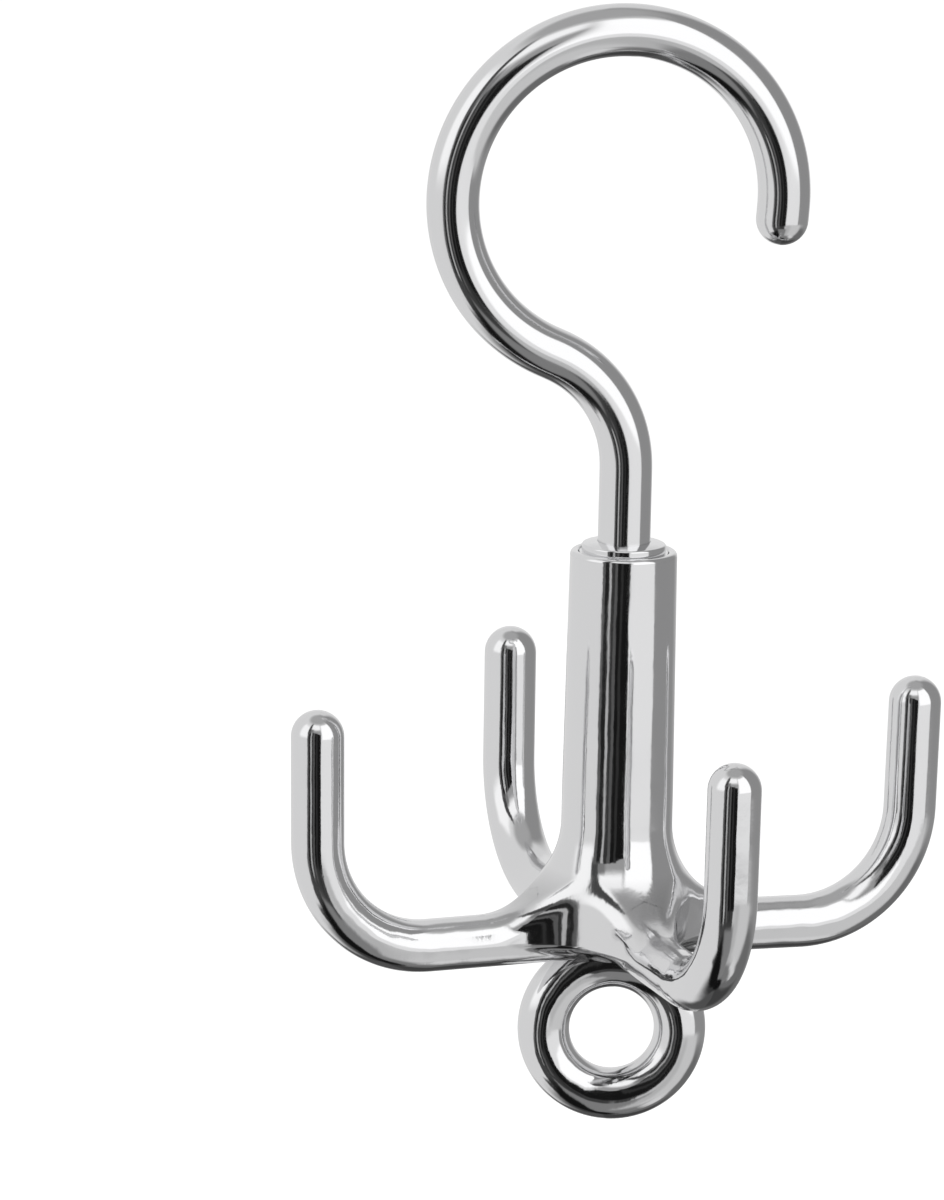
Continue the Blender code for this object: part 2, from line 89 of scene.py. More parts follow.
# Finishes; a spacing is the distance over which a pattern changes. A haze is a roughness, from where
# its pattern is low to where it is high. A stretch is how fast furrows change along their length, as a
# share of how fast they change across it.
# The second chrome is greyer, for the crotches between the claws: painted shade.
CHROME, CROTCH_SHADE_CHROME = "#EDEDEE", "#CFCFD0"
FURROW_SPACING, FURROW_DEPTH, FURROW_STRETCH = 0.9 * MM, 0.006 * MM, 0.06
BEND_WAVE, BEND_WAVE_DEPTH = 14 * MM, 0.05 * MM
WIRE_HAZE = (0.08, 0.14)
POLISH_ROLL, POLISH_ROLL_DEPTH = 5.0 * MM, 0.06 * MM
POLISH_RIPPLE, POLISH_RIPPLE_DEPTH = 1.2 * MM, 0.008 * MM
POLISH_STREAK, POLISH_STREAK_DEPTH, POLISH_STREAK_STRETCH = 0.5 * MM, 0.004 * MM, 0.04
POLISH_HAZE = (0.06, 0.12)
BEND_ROLL, BEND_ROLL_DEPTH = 3.8 * MM, 0.12 * MM
BEND_ROLL_HEIGHT = (-34 * MM, -41 * MM)   # from the rim: none above the first, whole below the second
CAST_SKIN, CAST_SKIN_DEPTH = 0.9 * MM, 0.04 * MM
# The cast skin's reach and facing also bound where the crotches get their painted shade, a greyer chrome.
SKIN_AND_SHADE_REACH = (11 * MM, 17 * MM)      # from the cross's middle: where it starts to fade, and is gone
SKIN_AND_SHADE_FACING = (0.5, 0.8)             # how far a surface faces up: where it starts, and is whole
CAST_SKIN_HAZE = 0.13                     # what it adds to the polish's haze
STEEL, DARK_STEEL, LIGHT_STEEL = "#5A5856", "#4A4744", "#6A6967"
SCALE_PATCH, SCALE_DEPTH = 0.8 * MM, 0.01 * MM
STEEL_HAZE = (0.28, 0.48)
NYLON, DARK_NYLON, LIGHT_NYLON = "#DDD8C9", "#D3CDBC", "#E6E2D6"
NYLON_MILKINESS = 0.3
NYLON_MILK_DEPTH = (0.6 * MM, 0.5 * MM, 0.4 * MM)
CLOUD_PATCH = 2.5 * MM
GRAIN_SIZE, GRAIN_DEPTH = 0.08 * MM, 0.02 * MM
NYLON_HAZE = (0.42, 0.58)
WHOLE_NOISE, MAIN_NOISE = (0.0, 1.0), (0.3, 0.7)   # a noise's whole range, and where most of it lies

# Fineness of the surfaces
WIRE_COLUMNS = 96
WIRE_STEP = 0.05 * MM
WIRE_STEPS_PER_ROW = 6
WIRE_END_ROWS = 24
CAST_COLUMNS = 56
HUB_ROWS, FLARE_ROWS, UNDER_ROWS = 10, 72, 22
ROOT_ROWS, ARM_ROWS, BEND_ROWS, UPRIGHT_ROWS, TIP_ROWS = 40, 9, 60, 16, 18
RAY_STEPS, RAY_HALVINGS = 64, 16
CLOSED_FAN = 1e-4                 # how open a fan of rays stays where it closes on straight down
RIM_ROWS, MOUTH_ROWS = 14, 12
TURNED_COLUMNS = 192
SHOULDER_ROWS, DOME_ROWS = 10, 16
STAMPED_ROWS, CLIP_COLUMNS = 5, 73
TORUS_ROWS, TORUS_COLUMNS = 224, 96
MERGE_DISTANCE = 0.002 * MM
SHARP_ANGLE = math.radians(40)

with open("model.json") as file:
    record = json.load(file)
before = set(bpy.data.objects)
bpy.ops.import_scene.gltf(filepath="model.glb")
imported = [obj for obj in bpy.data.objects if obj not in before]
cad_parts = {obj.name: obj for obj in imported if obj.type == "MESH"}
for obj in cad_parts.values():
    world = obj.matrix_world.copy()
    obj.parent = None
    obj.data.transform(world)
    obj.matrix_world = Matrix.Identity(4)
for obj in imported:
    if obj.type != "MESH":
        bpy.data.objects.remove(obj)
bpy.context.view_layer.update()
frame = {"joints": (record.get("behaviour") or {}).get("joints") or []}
swivel = frame["joints"][0]
axis_x, _, rim_z = swivel["pos_m"]
hook_low, hook_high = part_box("hook")
cap_low, cap_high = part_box("swivel_cap")
washer_low, washer_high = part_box("thrust_washer")
clip_low, clip_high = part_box("retaining_clip")
eye_low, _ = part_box("eye_ring")

wire_radius = hook_high.y
loop_radius = LOOP_INSIDE_DIAMETER / 2 + wire_radius
loop_centre_z = -LOOP_INSIDE_DIAMETER / 2
neck_rise = math.sqrt((NECK_BEND_RADIUS + loop_radius) ** 2 - (NECK_BEND_RADIUS - axis_x) ** 2)
neck_z = loop_centre_z - neck_rise
cap_radius = (cap_high.y - cap_low.y) / 2
claw_z = -CLAW_DEPTH
claw_heading = np.array([math.cos(CLAW_DROOP), -math.sin(CLAW_DROOP)])
root_length = max(HUB_RADIUS_LOW + FILLET_RADIUS, CLAW_RADIUS + CROTCH_RADIUS)
eye_radius = EYE_INSIDE_DIAMETER / 2 + EYE_WIRE_RADIUS
eye_centre_z = eye_low.z + eye_radius + EYE_WIRE_RADIUS


def add_object(name, data):
    """A new object in the scene."""
    made = bpy.data.objects.new(name, data)
    bpy.context.scene.collection.objects.link(made)
    return made


def grid_mesh(name, grids):
    """A mesh from grids of points, each rows by columns by xyz, with a four-sided face between
    neighbouring points."""
    points, faces, count = [], [], 0
    for grid in grids:
        rows, columns = grid.shape[:2]
        index = count + np.arange(rows * columns).reshape(rows, columns)
        corners = (index[:-1, :-1], index[:-1, 1:], index[1:, 1:], index[1:, :-1])
        faces.append(np.stack(corners, axis=-1).reshape(-1, 4))
        points.append(grid.reshape(-1, 3))
        count += rows * columns
    mesh = bpy.data.meshes.new(name)
    mesh.from_pydata(np.concatenate(points).tolist(), [], np.concatenate(faces).tolist())
    return mesh


def make_piece(name, grids, material, body, nodes, lie=None):
    """A closed piece from grids of points.

    Points at one place become one vertex, so grids join along shared edges, and a row drawn
    together at one point closes a pole. Where a pattern follows the piece, lie holds a vector for
    each point, kept as an attribute.
    """
    mesh = grid_mesh(name, grids)
    if lie is not None:
        attribute = mesh.attributes.new("lie", "FLOAT_VECTOR", "POINT")
        attribute.data.foreach_set("vector", lie.reshape(-1).astype(np.float32))
    bm = bmesh.new()
    bm.from_mesh(mesh)
    bmesh.ops.remove_doubles(bm, verts=bm.verts, dist=MERGE_DISTANCE)
    bmesh.ops.recalc_face_normals(bm, faces=bm.faces)
    bm.to_mesh(mesh)
    bm.free()
    mesh.shade_smooth()
    mesh.set_sharp_from_angle(angle=SHARP_ANGLE)
    mesh.materials.append(material)
    piece = add_object(name, mesh)
    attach(piece, body)
    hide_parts(*nodes)


def between(share, first, last):
    """From the first to the last as the share goes from 0 to 1."""
    return first + (last - first) * share


def smooth_step(share):
    """From 0 to 1 as the share goes from 0 to 1, level at both ends."""
    share = np.clip(share, 0, 1)
    return share * share * (3 - 2 * share)


def turned_grid(profile):
    """A profile of (radius, height) turned about the swivel's axis."""
    profile = np.asarray(profile, float)
    angles = np.linspace(0, 2 * math.pi, TURNED_COLUMNS + 1)
    radius, height = profile[:, :1], profile[:, 1:]
    return np.stack([axis_x + radius * np.cos(angles), radius * np.sin(angles),
                     height + 0 * angles], axis=-1)


def about_line(place_x, place_z, turn, across, aside):
    """Points about a line in the XZ plane, one row for each place on it: across the line's heading
    in that plane, and aside of it."""
    return np.stack([place_x[:, None] - across * np.sin(turn)[:, None], aside,
                     place_z[:, None] + across * np.cos(turn)[:, None]], axis=-1)


def quarter_round(centre, radius, start, end, count):
    """Points (radius, height) along an arc from the start angle to the end angle."""
    angles = np.linspace(start, end, count)
    return [(centre[0] + radius * math.cos(a), centre[1] + radius * math.sin(a)) for a in angles]


# Hook

def hook_line():
    """The wire's centreline and its heading, as arrays, from the shank's lower end to the tip.

    The heading is a function of the length along the wire: steady on a straight, turning evenly
    in a bend, with each change spread over BEND_EASE by a moving average. The line is the running
    sum of short steps along the heading, stretched by a hair so that the loop's side and top
    stand where the solid's do.
    """
    neck_angle = math.atan2(loop_centre_z - neck_z, NECK_BEND_RADIUS - axis_x)
    loop_angle = neck_angle + math.pi + LOOP_PAST_LEVEL
    straight = neck_z - hook_low.z
    lengths = [0, straight, NECK_BEND_RADIUS * neck_angle, loop_radius * loop_angle, TIP_STRAIGHT]
    knots = np.cumsum(lengths)
    up = math.pi / 2
    headings = [up, up, up + neck_angle, up + neck_angle - loop_angle, up + neck_angle - loop_angle]
    count = int(knots[-1] / WIRE_STEP)
    middles = (np.arange(count) + 0.5) * knots[-1] / count
    width = int(BEND_EASE / WIRE_STEP) | 1
    raw = np.interp(middles, knots, headings)
    padded = np.pad(raw, width // 2, mode="edge")
    heading = np.convolve(padded, np.ones(width) / width, mode="valid")
    step = knots[-1] / count
    x = axis_x + np.concatenate([[0], np.cumsum(np.cos(heading) * step)])
    z = hook_low.z + np.concatenate([[0], np.cumsum(np.sin(heading) * step)])
    side, top = hook_low.x + wire_radius, hook_high.z - wire_radius
    x = axis_x + (x - axis_x) * (axis_x - side) / (axis_x - x.min())
    z = z[0] + (z - z[0]) * (top - z[0]) / (z.max() - z[0])
    return x, z, np.append(heading, heading[-1]), np.append(middles - step / 2, knots[-1])


def hook_grid():
    """Circles about the centreline, smaller in the clip's groove and drawn in at both ends.

    Beside the points comes their lie for the draw marks: place across the section, and length.
    """
    x, z, heading, along = hook_line()
    keep = np.arange(0, len(x), WIRE_STEPS_PER_ROW)
    keep[-1] = len(x) - 1
    low, high = clip_low.z - SEAT_GAP - hook_low.z, clip_high.z + SEAT_GAP - hook_low.z
    steps = along[keep]
    rows = [(0, 0.0), (0, wire_radius - SHANK_CHAMFER), (SHANK_CHAMFER, wire_radius)]
    rows += [(length, wire_radius) for length in steps if SHANK_CHAMFER < length < low]
    rows += [(low, wire_radius), (low, GROOVE_RADIUS), (high, GROOVE_RADIUS), (high, wire_radius)]
    rows += [(length, wire_radius) for length in steps if length > high]
    rows = np.array(rows)
    place_x = np.interp(rows[:, 0], along, x)
    place_z = np.interp(rows[:, 0], along, z)
    turn = np.interp(rows[:, 0], along, heading)
    radius = rows[:, 1]
    end = np.linspace(0, math.pi / 2, WIRE_END_ROWS)[1:]
    place_x = np.concatenate([place_x, x[-1] + wire_radius * np.sin(end) * math.cos(heading[-1])])
    place_z = np.concatenate([place_z, z[-1] + wire_radius * np.sin(end) * math.sin(heading[-1])])
    turn = np.concatenate([turn, np.full(len(end), heading[-1])])
    radius = np.concatenate([radius, wire_radius * np.cos(end)])
    length = np.concatenate([rows[:, 0], along[-1] + wire_radius * end])
    around = np.linspace(0, 2 * math.pi, WIRE_COLUMNS + 1)
    across = radius[:, None] * np.cos(around)
    aside = radius[:, None] * np.sin(around)
    points = about_line(place_x, place_z, turn, across, aside)
    return points, np.stack([across, aside, length[:, None] + 0 * aside], axis=-1)


# Casting; its own frame has the swivel's axis as Z, the rim at height 0 and a claw along +X

def claw_line():
    """The claw's centreline past its straight arm, in its own plane, as (x, height): the bend's
    centre, first angle and last angle, then the upright's foot and heading."""
    centre = np.array([0, claw_z]) + CLAW_REACH * claw_heading
    centre = centre + CLAW_BEND_RADIUS * np.array([-claw_heading[1], claw_heading[0]])
    start, end = -math.pi / 2 - CLAW_DROOP, -CLAW_FLARE
    foot = centre + CLAW_BEND_RADIUS * np.array([math.cos(end), math.sin(end)])
    upright = np.array([-math.sin(end), math.cos(end)])
    return centre, start, end, foot, upright


def inner_round(first, second, radius):
    """Distance outside two faces that meet at a right angle, with their inner corner rounded.

    Both arguments are distances outside a face, and so is the result.
    """
    in_corner = (first < radius) & (second < radius)
    rounded = radius - np.hypot(first - radius, second - radius)
    return np.where(in_corner, rounded, np.minimum(first, second))


def inside_casting(points):
    """True where a point is inside the casting's outer form, as far out as the arms are straight.

    The form is the round hub and a cross of four arms. Seen from above, round crotches join the
    arms' sides. Seen from the side, the hub flares out into the arms' tops. The edge between the
    two is tight at the hub and as round as the claw where the flare ends. Below the claws'
    centres the crotches draw in.
    """
    x, y, z = np.abs(points[..., 0]), np.abs(points[..., 1]), points[..., 2]
    radius = np.hypot(x, y)
    hub_radius = np.interp(-z, [0, HUB_TAPER_DEPTH], [HUB_RADIUS_TOP, HUB_RADIUS_LOW])
    below = np.maximum(claw_z - z, 0)
    in_hub = np.hypot(np.maximum(radius - hub_radius + CLAW_RADIUS, 0), below) < CLAW_RADIUS

    height = z - claw_z + radius * math.tan(CLAW_DROOP)
    crotch = CROTCH_UNDER + (CROTCH_RADIUS - CROTCH_UNDER) * smooth_step(height / CLAW_RADIUS + 1)
    beside = inner_round(x - CLAW_RADIUS, y - CLAW_RADIUS, crotch)
    above = inner_round(radius - hub_radius, height - CLAW_RADIUS, FILLET_RADIUS)
    above = np.maximum(above, -height - CLAW_RADIUS)
    closeness = smooth_step(1 - (radius - hub_radius) / FILLET_RADIUS) * (height > 0)
    edge = CLAW_RADIUS - (CLAW_RADIUS - CROTCH_EDGE) * closeness
    in_cross = np.hypot(np.maximum(above + edge, 0), np.maximum(beside + edge, 0)) < edge
    return in_hub | in_cross


def surface_along(origins, directions):
    """Where rays from points inside the casting come out, found by stepping and then halving."""
    step = root_length / RAY_STEPS
    still_inside = np.ones(directions.shape[:-1], bool)
    low = np.zeros(directions.shape[:-1])
    for distance in np.arange(1, RAY_STEPS + 1) * step:
        still_inside &= inside_casting(origins + distance * directions)
        low[still_inside] = distance
    high = low + step
    for _ in range(RAY_HALVINGS):
        middle = (low + high) / 2
        hit = inside_casting(origins + middle[..., None] * directions)
        low, high = np.where(hit, middle, low), np.where(hit, high, middle)
    return origins + ((low + high) / 2)[..., None] * directions


def fans(origins, ridges, sides):
    """One row of the surface for each origin: rays turned evenly from one side, over the ridge,
    to the mirrored other side. The origins, ridges and sides are rows by xyz."""
    ridges = ridges / np.linalg.norm(ridges, axis=-1, keepdims=True)
    sides = sides / np.linalg.norm(sides, axis=-1, keepdims=True)
    opening = np.arccos(np.clip(np.sum(ridges * sides, axis=-1), -1, 1))[:, None, None]
    columns = np.linspace(-1, 1, CAST_COLUMNS + 1)[None, :, None]
    mirrored = np.where(columns < 0, sides[:, None] * (1, -1, 1), sides[:, None])
    turn = np.abs(columns) * opening
    rays = (np.sin(opening - turn) * ridges[:, None] + np.sin(turn) * mirrored) / np.sin(opening)
    return surface_along(origins[:, None] + 0 * rays, rays)


def in_plane(angle):
    """Directions in the claw's own plane, at angles up from level."""
    return np.stack([np.cos(angle), 0 * angle, np.sin(angle)], axis=-1)


def hub_rows():
    """Rows down the hub as quarter circles, and through the flare to the claws' centres' height."""
    flare_top = claw_z + CLAW_RADIUS + FILLET_RADIUS
    hub = np.linspace(0, 1, HUB_ROWS)[:-1]
    flare = np.linspace(0, 1, FLARE_ROWS)
    origins = np.zeros((len(hub) + len(flare), 3))
    origins[:, 2] = np.concatenate([between(hub, -RIM_ROUNDING, flare_top),
                                    between(flare, flare_top, claw_z)])
    leans = UPPER_LEAN * np.concatenate([0 * hub, flare])
    return fans(origins, in_plane(leans), origins * 0 + (1, 1, 0))


def under_rows():
    """Rows of the underside, from one point in its middle up to the claws' centres' height."""
    under = np.linspace(0, 1, UNDER_ROWS)
    side_lean = -math.pi / 2 * (1 - under)
    sides = np.stack([np.cos(side_lean), np.cos(side_lean), math.sqrt(2) * np.sin(side_lean)], axis=-1)
    ridges = in_plane(between(under, -math.pi / 2, LOWER_LEAN))
    sides[0] = (CLOSED_FAN, CLOSED_FAN, -1)
    ridges[0] = (CLOSED_FAN, 0, -1)
    rows = fans(ridges * 0 + (0, 0, claw_z), ridges, sides)
    rows[0] = rows[0].mean(axis=0)
    return rows


def root_rows():
    """The upper and the lower rows along the arm, as far as the flare and the crotches shape it."""
    along = np.linspace(0, 1, ROOT_ROWS)[1:]
    origins = np.stack([root_length * along * claw_heading[0], 0 * along,
                        claw_z + root_length * along * claw_heading[1]], axis=-1)
    spread = math.pi / 4 * (1 + along)
    sides = np.stack([np.cos(spread), np.sin(spread), 0 * spread], axis=-1)
    straight = math.pi / 2 + CLAW_DROOP
    upper = fans(origins, in_plane(between(along, UPPER_LEAN, straight)), sides)
    lower = fans(origins, in_plane(between(along, LOWER_LEAN, straight - math.pi)), sides)
    return upper, lower


def claw_rows(sign):
    """Half circles along the rest of the arm, round the bend, up the upright and over its round
    end: the claw's upper half with sign 1, and its lower half with sign -1."""
    centre, start, end, foot, upright = claw_line()
    rest = np.linspace(0, 1, ARM_ROWS)[1:]
    angle = np.linspace(start, end, BEND_ROWS)[1:]
    rise = np.linspace(0, 1, UPRIGHT_ROWS)[1:]
    tip = np.linspace(0, math.pi / 2, TIP_ROWS)[1:]
    arm = np.array([0, claw_z]) + between(rest, root_length, CLAW_REACH)[:, None] * claw_heading
    bend = centre + CLAW_BEND_RADIUS * np.stack([np.cos(angle), np.sin(angle)], axis=-1)
    post = foot + CLAW_UPRIGHT * rise[:, None] * upright
    dome = post[-1] + CLAW_RADIUS * np.sin(tip)[:, None] * upright
    places = np.concatenate([arm, bend, post, dome])
    upright_turn = end + math.pi / 2
    turns = np.concatenate([0 * rest - CLAW_DROOP, angle + math.pi / 2, 0 * rise + upright_turn,
                            0 * tip + upright_turn])
    radius = CLAW_RADIUS * np.concatenate([np.ones(len(places) - len(tip)), np.cos(tip)])[:, None]
    around = np.linspace(-math.pi / 2, math.pi / 2, CAST_COLUMNS + 1)
    return about_line(places[:, 0], places[:, 1], turns, sign * radius * np.cos(around),
                      radius * np.sin(around))


def casting_rows():
    """The upper and the lower rows of the quarter of the casting round the claw along +X.

    The rows come down the hub as quarter circles, open out in the flare and go on along the
    claw as half circles: the upper rows as its upper half, the lower rows as its lower half.
    """
    root_upper, root_lower = root_rows()
    upper = np.concatenate([hub_rows(), root_upper, claw_rows(1)])
    lower = np.concatenate([under_rows(), root_lower, claw_rows(-1)])
    return upper, lower


def rim_and_bore():
    """The rows (radius, height) from the hub's side over its rim and down the bore to its end."""
    mouth = cap_radius + SEAT_GAP
    chamber = (washer_high.y - washer_low.y) / 2 + SEAT_GAP
    guide = wire_radius + RUNNING_GAP
    shoulder = cap_low.z - SEAT_GAP - rim_z
    chamber_end = clip_low.z - SEAT_GAP - rim_z
    end = hook_low.z - BORE_END_GAP - rim_z
    top = HUB_RADIUS_TOP - RIM_ROUNDING
    rows = quarter_round((top, -RIM_ROUNDING), RIM_ROUNDING, 0, math.pi / 2, RIM_ROWS)
    rows += quarter_round((mouth + MOUTH_ROUNDING, -MOUTH_ROUNDING), MOUTH_ROUNDING,
                          math.pi / 2, math.pi, MOUTH_ROWS)
    return rows + [(mouth, shoulder), (chamber, shoulder), (chamber, chamber_end),
                   (guide, chamber_end), (guide, end), (0, end)]


def casting_grids():
    """The quarter's rows, repeated at quarter turns, placed on the swivel's axis."""
    upper, lower = casting_rows()
    columns = np.arctan2(upper[0, :, 1], upper[0, :, 0])
    rows = np.array(rim_and_bore())
    ring = np.stack([rows[:, :1] * np.cos(columns), rows[:, :1] * np.sin(columns),
                     rows[:, 1:] + 0 * columns], axis=-1)
    grids = []
    for quarter in range(4):
        turn = CLAW_TURN + quarter * math.pi / 2
        matrix = np.array(Matrix.Rotation(turn, 3, "Z"))
        for grid in (ring, upper, lower):
            grids.append(grid @ matrix.T + (axis_x, 0, rim_z))
    return grids


# Clip, washer, cap and eye

def rounded_section(inside, outside, low, high):
    """A closed rectangle of (radius, height) with its four corners rounded."""
    edge = STAMPED_EDGE
    corners = ((outside - edge, high - edge, 0), (inside + edge, high - edge, 1),
               (inside + edge, low + edge, 2), (outside - edge, low + edge, 3))
    rows = []
    for radius, height, quarter in corners:
        start = quarter * math.pi / 2
        rows += quarter_round((radius, height), edge, start, start + math.pi / 2, STAMPED_ROWS)
    return np.array(rows + rows[:1])


def clip_grid():
    """The rounded section carried round an arc, and drawn to its middle at both ends."""
    outside = (clip_high.y - clip_low.y) / 2
    section = rounded_section(GROOVE_RADIUS + SEAT_GAP, outside, clip_low.z, clip_high.z)
    middle = section * 0 + section[:-1].mean(axis=0)
    rows = np.array([middle] + [section] * CLIP_COLUMNS + [middle])
    half = CLIP_OPENING / 2
    angles = np.linspace(math.pi + half, 3 * math.pi - half, CLIP_COLUMNS)
    angles = np.concatenate([angles[:1], angles, angles[-1:]])[:, None]
    return np.stack([axis_x + rows[..., 0] * np.cos(angles), rows[..., 0] * np.sin(angles),
                     rows[..., 1]], axis=-1)


def washer_grid():
    """The rounded section turned a whole turn."""
    outside = (washer_high.y - washer_low.y) / 2
    section = rounded_section(wire_radius + SEAT_GAP, outside, washer_low.z, washer_high.z)
    return turned_grid(section)


def cap_grid():
    """The cap's section, turned: the part in its seat, upright side, round shoulder, a dome that
    levels out, and the bore."""
    bore = wire_radius + RUNNING_GAP
    seated = cap_radius + SEAT_GAP - CAP_LIP_GAP
    groove_z = rim_z - CAP_GROOVE_DEPTH
    top_radius = wire_radius + CAP_LIP_GAP
    shoulder = (cap_radius - CAP_EDGE, rim_z + CAP_SHOULDER - CAP_EDGE)
    slope = math.atan(math.pi / 2 * (CAP_DOME - CAP_SHOULDER) / (shoulder[0] - top_radius))
    rows = [(bore, cap_low.z), (seated, cap_low.z), (seated, groove_z), (cap_radius, groove_z)]
    rows += quarter_round(shoulder, CAP_EDGE, 0, math.pi / 2 - slope, SHOULDER_ROWS)
    start_radius, start_z = rows[-1]
    share = np.linspace(0, 1, DOME_ROWS)[1:]
    dome_radius = start_radius + (top_radius - start_radius) * share
    dome_z = start_z + (rim_z + CAP_DOME - start_z) * np.sin(share * math.pi / 2)
    rows += list(zip(dome_radius, dome_z))
    rows += [(top_radius, rim_z + CAP_DOME - CAP_LIP_DEPTH / 2), (bore, rim_z + CAP_DOME - CAP_LIP_DEPTH),
             (bore, cap_low.z)]
    return turned_grid(rows)


def eye_grid():
    """A torus stood upright and turned about the swivel's axis."""
    around = np.linspace(0, 2 * math.pi, TORUS_ROWS + 1)[:, None]
    section = np.linspace(0, 2 * math.pi, TORUS_COLUMNS + 1)[None]
    reach = eye_radius + EYE_WIRE_RADIUS * np.cos(section)
    across = reach * np.cos(around)
    aside = EYE_WIRE_RADIUS * np.sin(section) + 0 * around
    height = eye_centre_z + reach * np.sin(around)
    cos, sin = math.cos(EYE_TURN), math.sin(EYE_TURN)
    return np.stack([axis_x + across * cos - aside * sin, across * sin + aside * cos, height], axis=-1)


# Materials

def linear_light(seen):
    """Levels as seen, from 0 to 1, as amounts of light: the curve of the sRGB standard."""
    return np.where(seen <= 0.04045, seen / 12.92, ((seen + 0.055) / 1.055) ** 2.4)


def linear(colour):
    """A colour written as an sRGB hex value, as linear RGBA."""
    seen = np.array([int(colour[i:i + 2], 16) / 255 for i in (1, 3, 5)])
    return [*linear_light(seen).tolist(), 1.0]


def add_node(tree, kind, inputs=None, **settings):
    """A node with its settings; each of its inputs takes a value or another node's output."""
    node = tree.nodes.new(kind)
    for name, value in settings.items():
        setattr(node, name, value)
    for name, value in (inputs or {}).items():
        if isinstance(value, bpy.types.NodeSocket):
            tree.links.new(value, node.inputs[name])
        else:
            node.inputs[name].default_value = value
    return node


def new_material(name, colour, metallic):
    """A material with its node tree and its shader, of one colour as yet."""
    made = bpy.data.materials.new(name)
    made.use_nodes = True
    shader = made.node_tree.nodes["Principled BSDF"]
    shader.inputs["Base Color"].default_value = linear(colour)
    shader.inputs["Metallic"].default_value = metallic
    made.diffuse_color = linear(colour)
    return made, made.node_tree, shader


def noise(tree, place, spacing, detail=2.0, roughness=0.5):
    """A noise that changes over a spacing."""
    return add_node(tree, "ShaderNodeTexNoise", {"Vector": place, "Scale": 1 / spacing,
                    "Detail": detail, "Roughness": roughness}).outputs["Fac"]


def stretched(tree, place, stretch):
    """Places drawn together along the third axis, so that a pattern there is drawn out."""
    return add_node(tree, "ShaderNodeMapping", {"Vector": place, "Scale": (1, 1, stretch)}).outputs["Vector"]


def bump(tree, pattern, depth, strength=1.0, over=None):
    """The surface's normal where a pattern stands up by a depth, over the bump made before it."""
    inputs = {"Height": pattern, "Distance": depth, "Strength": strength}
    if over is not None:
        inputs["Normal"] = over
    return add_node(tree, "ShaderNodeBump", inputs).outputs["Normal"]


def ranged(tree, value, start, end, low, high):
    """From low to high as the value goes from the start to the end, and held beyond them."""
    return add_node(tree, "ShaderNodeMapRange", {"Value": value, "From Min": start, "From Max": end,
                    "To Min": low, "To Max": high}).outputs["Result"]


def tint(tree, share, first, second):
    """A colour between two, by a share from 0 to 1."""
    return add_node(tree, "ShaderNodeMix", {"Factor": share, "A": linear(first), "B": linear(second)},
                    data_type="RGBA").outputs["Result"]


def chrome_on_wire():
    """Bright nickel-chrome on drawn steel wire: a mirror, drawn out a little along the wire.

    The die leaves shallow furrows along the wire, under a millimetre apart, and the bending a
    faint long wave. Both only bend the edges of what it mirrors.
    """
    made, tree, shader = new_material("bright_chrome_on_drawn_wire", CHROME, 1)
    lie = add_node(tree, "ShaderNodeAttribute", attribute_name="lie").outputs["Vector"]
    wave = noise(tree, lie, BEND_WAVE, detail=1.0)
    furrows = noise(tree, stretched(tree, lie, FURROW_STRETCH), FURROW_SPACING)
    normal = bump(tree, wave, BEND_WAVE_DEPTH)
    normal = bump(tree, furrows, FURROW_DEPTH, over=normal)
    haze = ranged(tree, furrows, *MAIN_NOISE, *WIRE_HAZE)
    tree.links.new(normal, shader.inputs["Normal"])
    tree.links.new(haze, shader.inputs["Roughness"])
    return made


def skin_and_painted_shade(tree, coordinates):
    """How much cast skin is left, and painted shade, from 0 to 1: near the cross's middle, where it faces
    up.
    """
    distance = add_node(tree, "ShaderNodeVectorMath", {0: coordinates.outputs["Object"],
                        1: (axis_x, 0, rim_z + claw_z)}, operation="DISTANCE").outputs["Value"]
    near = ranged(tree, distance, *SKIN_AND_SHADE_REACH, 1.0, 0.0)
    facing = add_node(tree, "ShaderNodeSeparateXYZ", {"Vector": coordinates.outputs["Normal"]})
    return ranged(tree, facing.outputs["Z"], *SKIN_AND_SHADE_FACING, 0.0, near)


